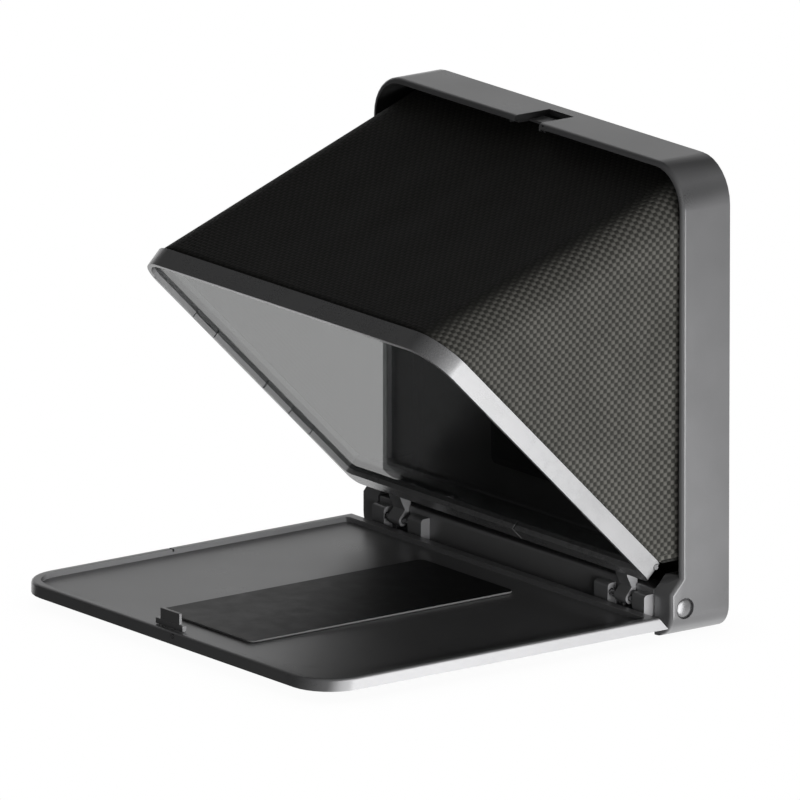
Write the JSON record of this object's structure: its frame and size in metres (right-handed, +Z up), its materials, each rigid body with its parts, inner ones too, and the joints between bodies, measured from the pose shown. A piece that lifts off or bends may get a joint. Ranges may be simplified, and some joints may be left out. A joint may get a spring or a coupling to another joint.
{
  "type": "teleprompter",
  "caption": "Fold-flat teleprompter: housing that hangs on a camera lens, lid that opens into a phone tray, half mirror at 45 degrees and a fabric hood.",
  "frame": {"origin": "middle of the housing's bottom edge, in the plane of the housing's front rim", "axes": "+X to the reader's right when facing the glass, +Y from the glass towards the camera lens, +Z up"},
  "size_m": [0.252, 0.2608, 0.235],
  "materials": {
    "grey_anodised": "satin anodised",
    "bright_aluminium": "satin",
    "black_moulding": "fine matt",
    "mat_rubber": "smooth matt",
    "pin_steel": "turned",
    "half_mirror": "half-mirror coating",
    "hood_fabric": "black plain weave"
  },
  "bodies": {
    "housing": {"housing_shell": "grey_anodised", "back_plate": "black_moulding", "hood_clamp_rear": "black_moulding", "lens_collar": "black_moulding", "collar_screw_1": "pin_steel", "collar_screw_2": "pin_steel", "collar_screw_3": "pin_steel", "collar_screw_4": "pin_steel", "catch_block": "grey_anodised", "hinge_pin_left": "pin_steel", "hinge_pin_right": "pin_steel", "hood": "hood_fabric"},
    "lens_ring": {"adapter_ring": "grey_anodised"},
    "catch_ball": {"catch_ball": "pin_steel"},
    "lid": {"lid_tray": "grey_anodised", "latch_pin": "pin_steel", "phone_mat": "mat_rubber", "hinge_bar": "grey_anodised", "bar_screw_1": "pin_steel", "bar_screw_2": "pin_steel", "bar_screw_3": "pin_steel", "arm_pin_left": "pin_steel", "arm_pin_right": "pin_steel"},
    "latch": {"latch_clip": "grey_anodised"},
    "glass_frame": {"glass_frame": "bright_aluminium", "beam_splitter_glass": "half_mirror", "hinge_arm_left": "grey_anodised", "hinge_arm_right": "grey_anodised", "frame_pin_left": "pin_steel", "frame_pin_right": "pin_steel", "rail_clip_left_1": "bright_aluminium", "rail_clip_left_2": "bright_aluminium", "rail_clip_right_1": "bright_aluminium", "rail_clip_right_2": "bright_aluminium"}
  },
  "joints": [
    {"name": "lid_hinge", "type": "hinge", "parent": "housing", "child": "lid", "pos_m": [0, 0.002, 0.0144], "axis": [-1, 0, 0], "range_deg": [0, 90], "deforming": ["hood"]},
    {"name": "glass_hinge", "type": "hinge", "parent": "lid", "child": "glass_frame", "pos_m": [0, -0.0093, 0.0154], "axis": [-1, 0, 0], "range_deg": [-45, 0]},
    {"name": "latch_slide", "type": "slide", "parent": "lid", "child": "latch", "axis": [0, 1, 0], "range_m": [0, 0.001], "stiffness_N_per_m": 200},
    {"name": "catch_press", "type": "slide", "parent": "housing", "child": "catch_ball", "axis": [0, 0, 1], "range_m": [0, 0.0008], "stiffness_N_per_m": 200},
    {"name": "lens_ring_turn", "type": "hinge", "parent": "housing", "child": "lens_ring", "pos_m": [0, 0.034, 0.105], "axis": [0, 1, 0], "continuous": true}
  ],
  "couplings": [
    {"joint": "glass_hinge", "follows": "lid_hinge", "ratio": -0.5}
  ]
}
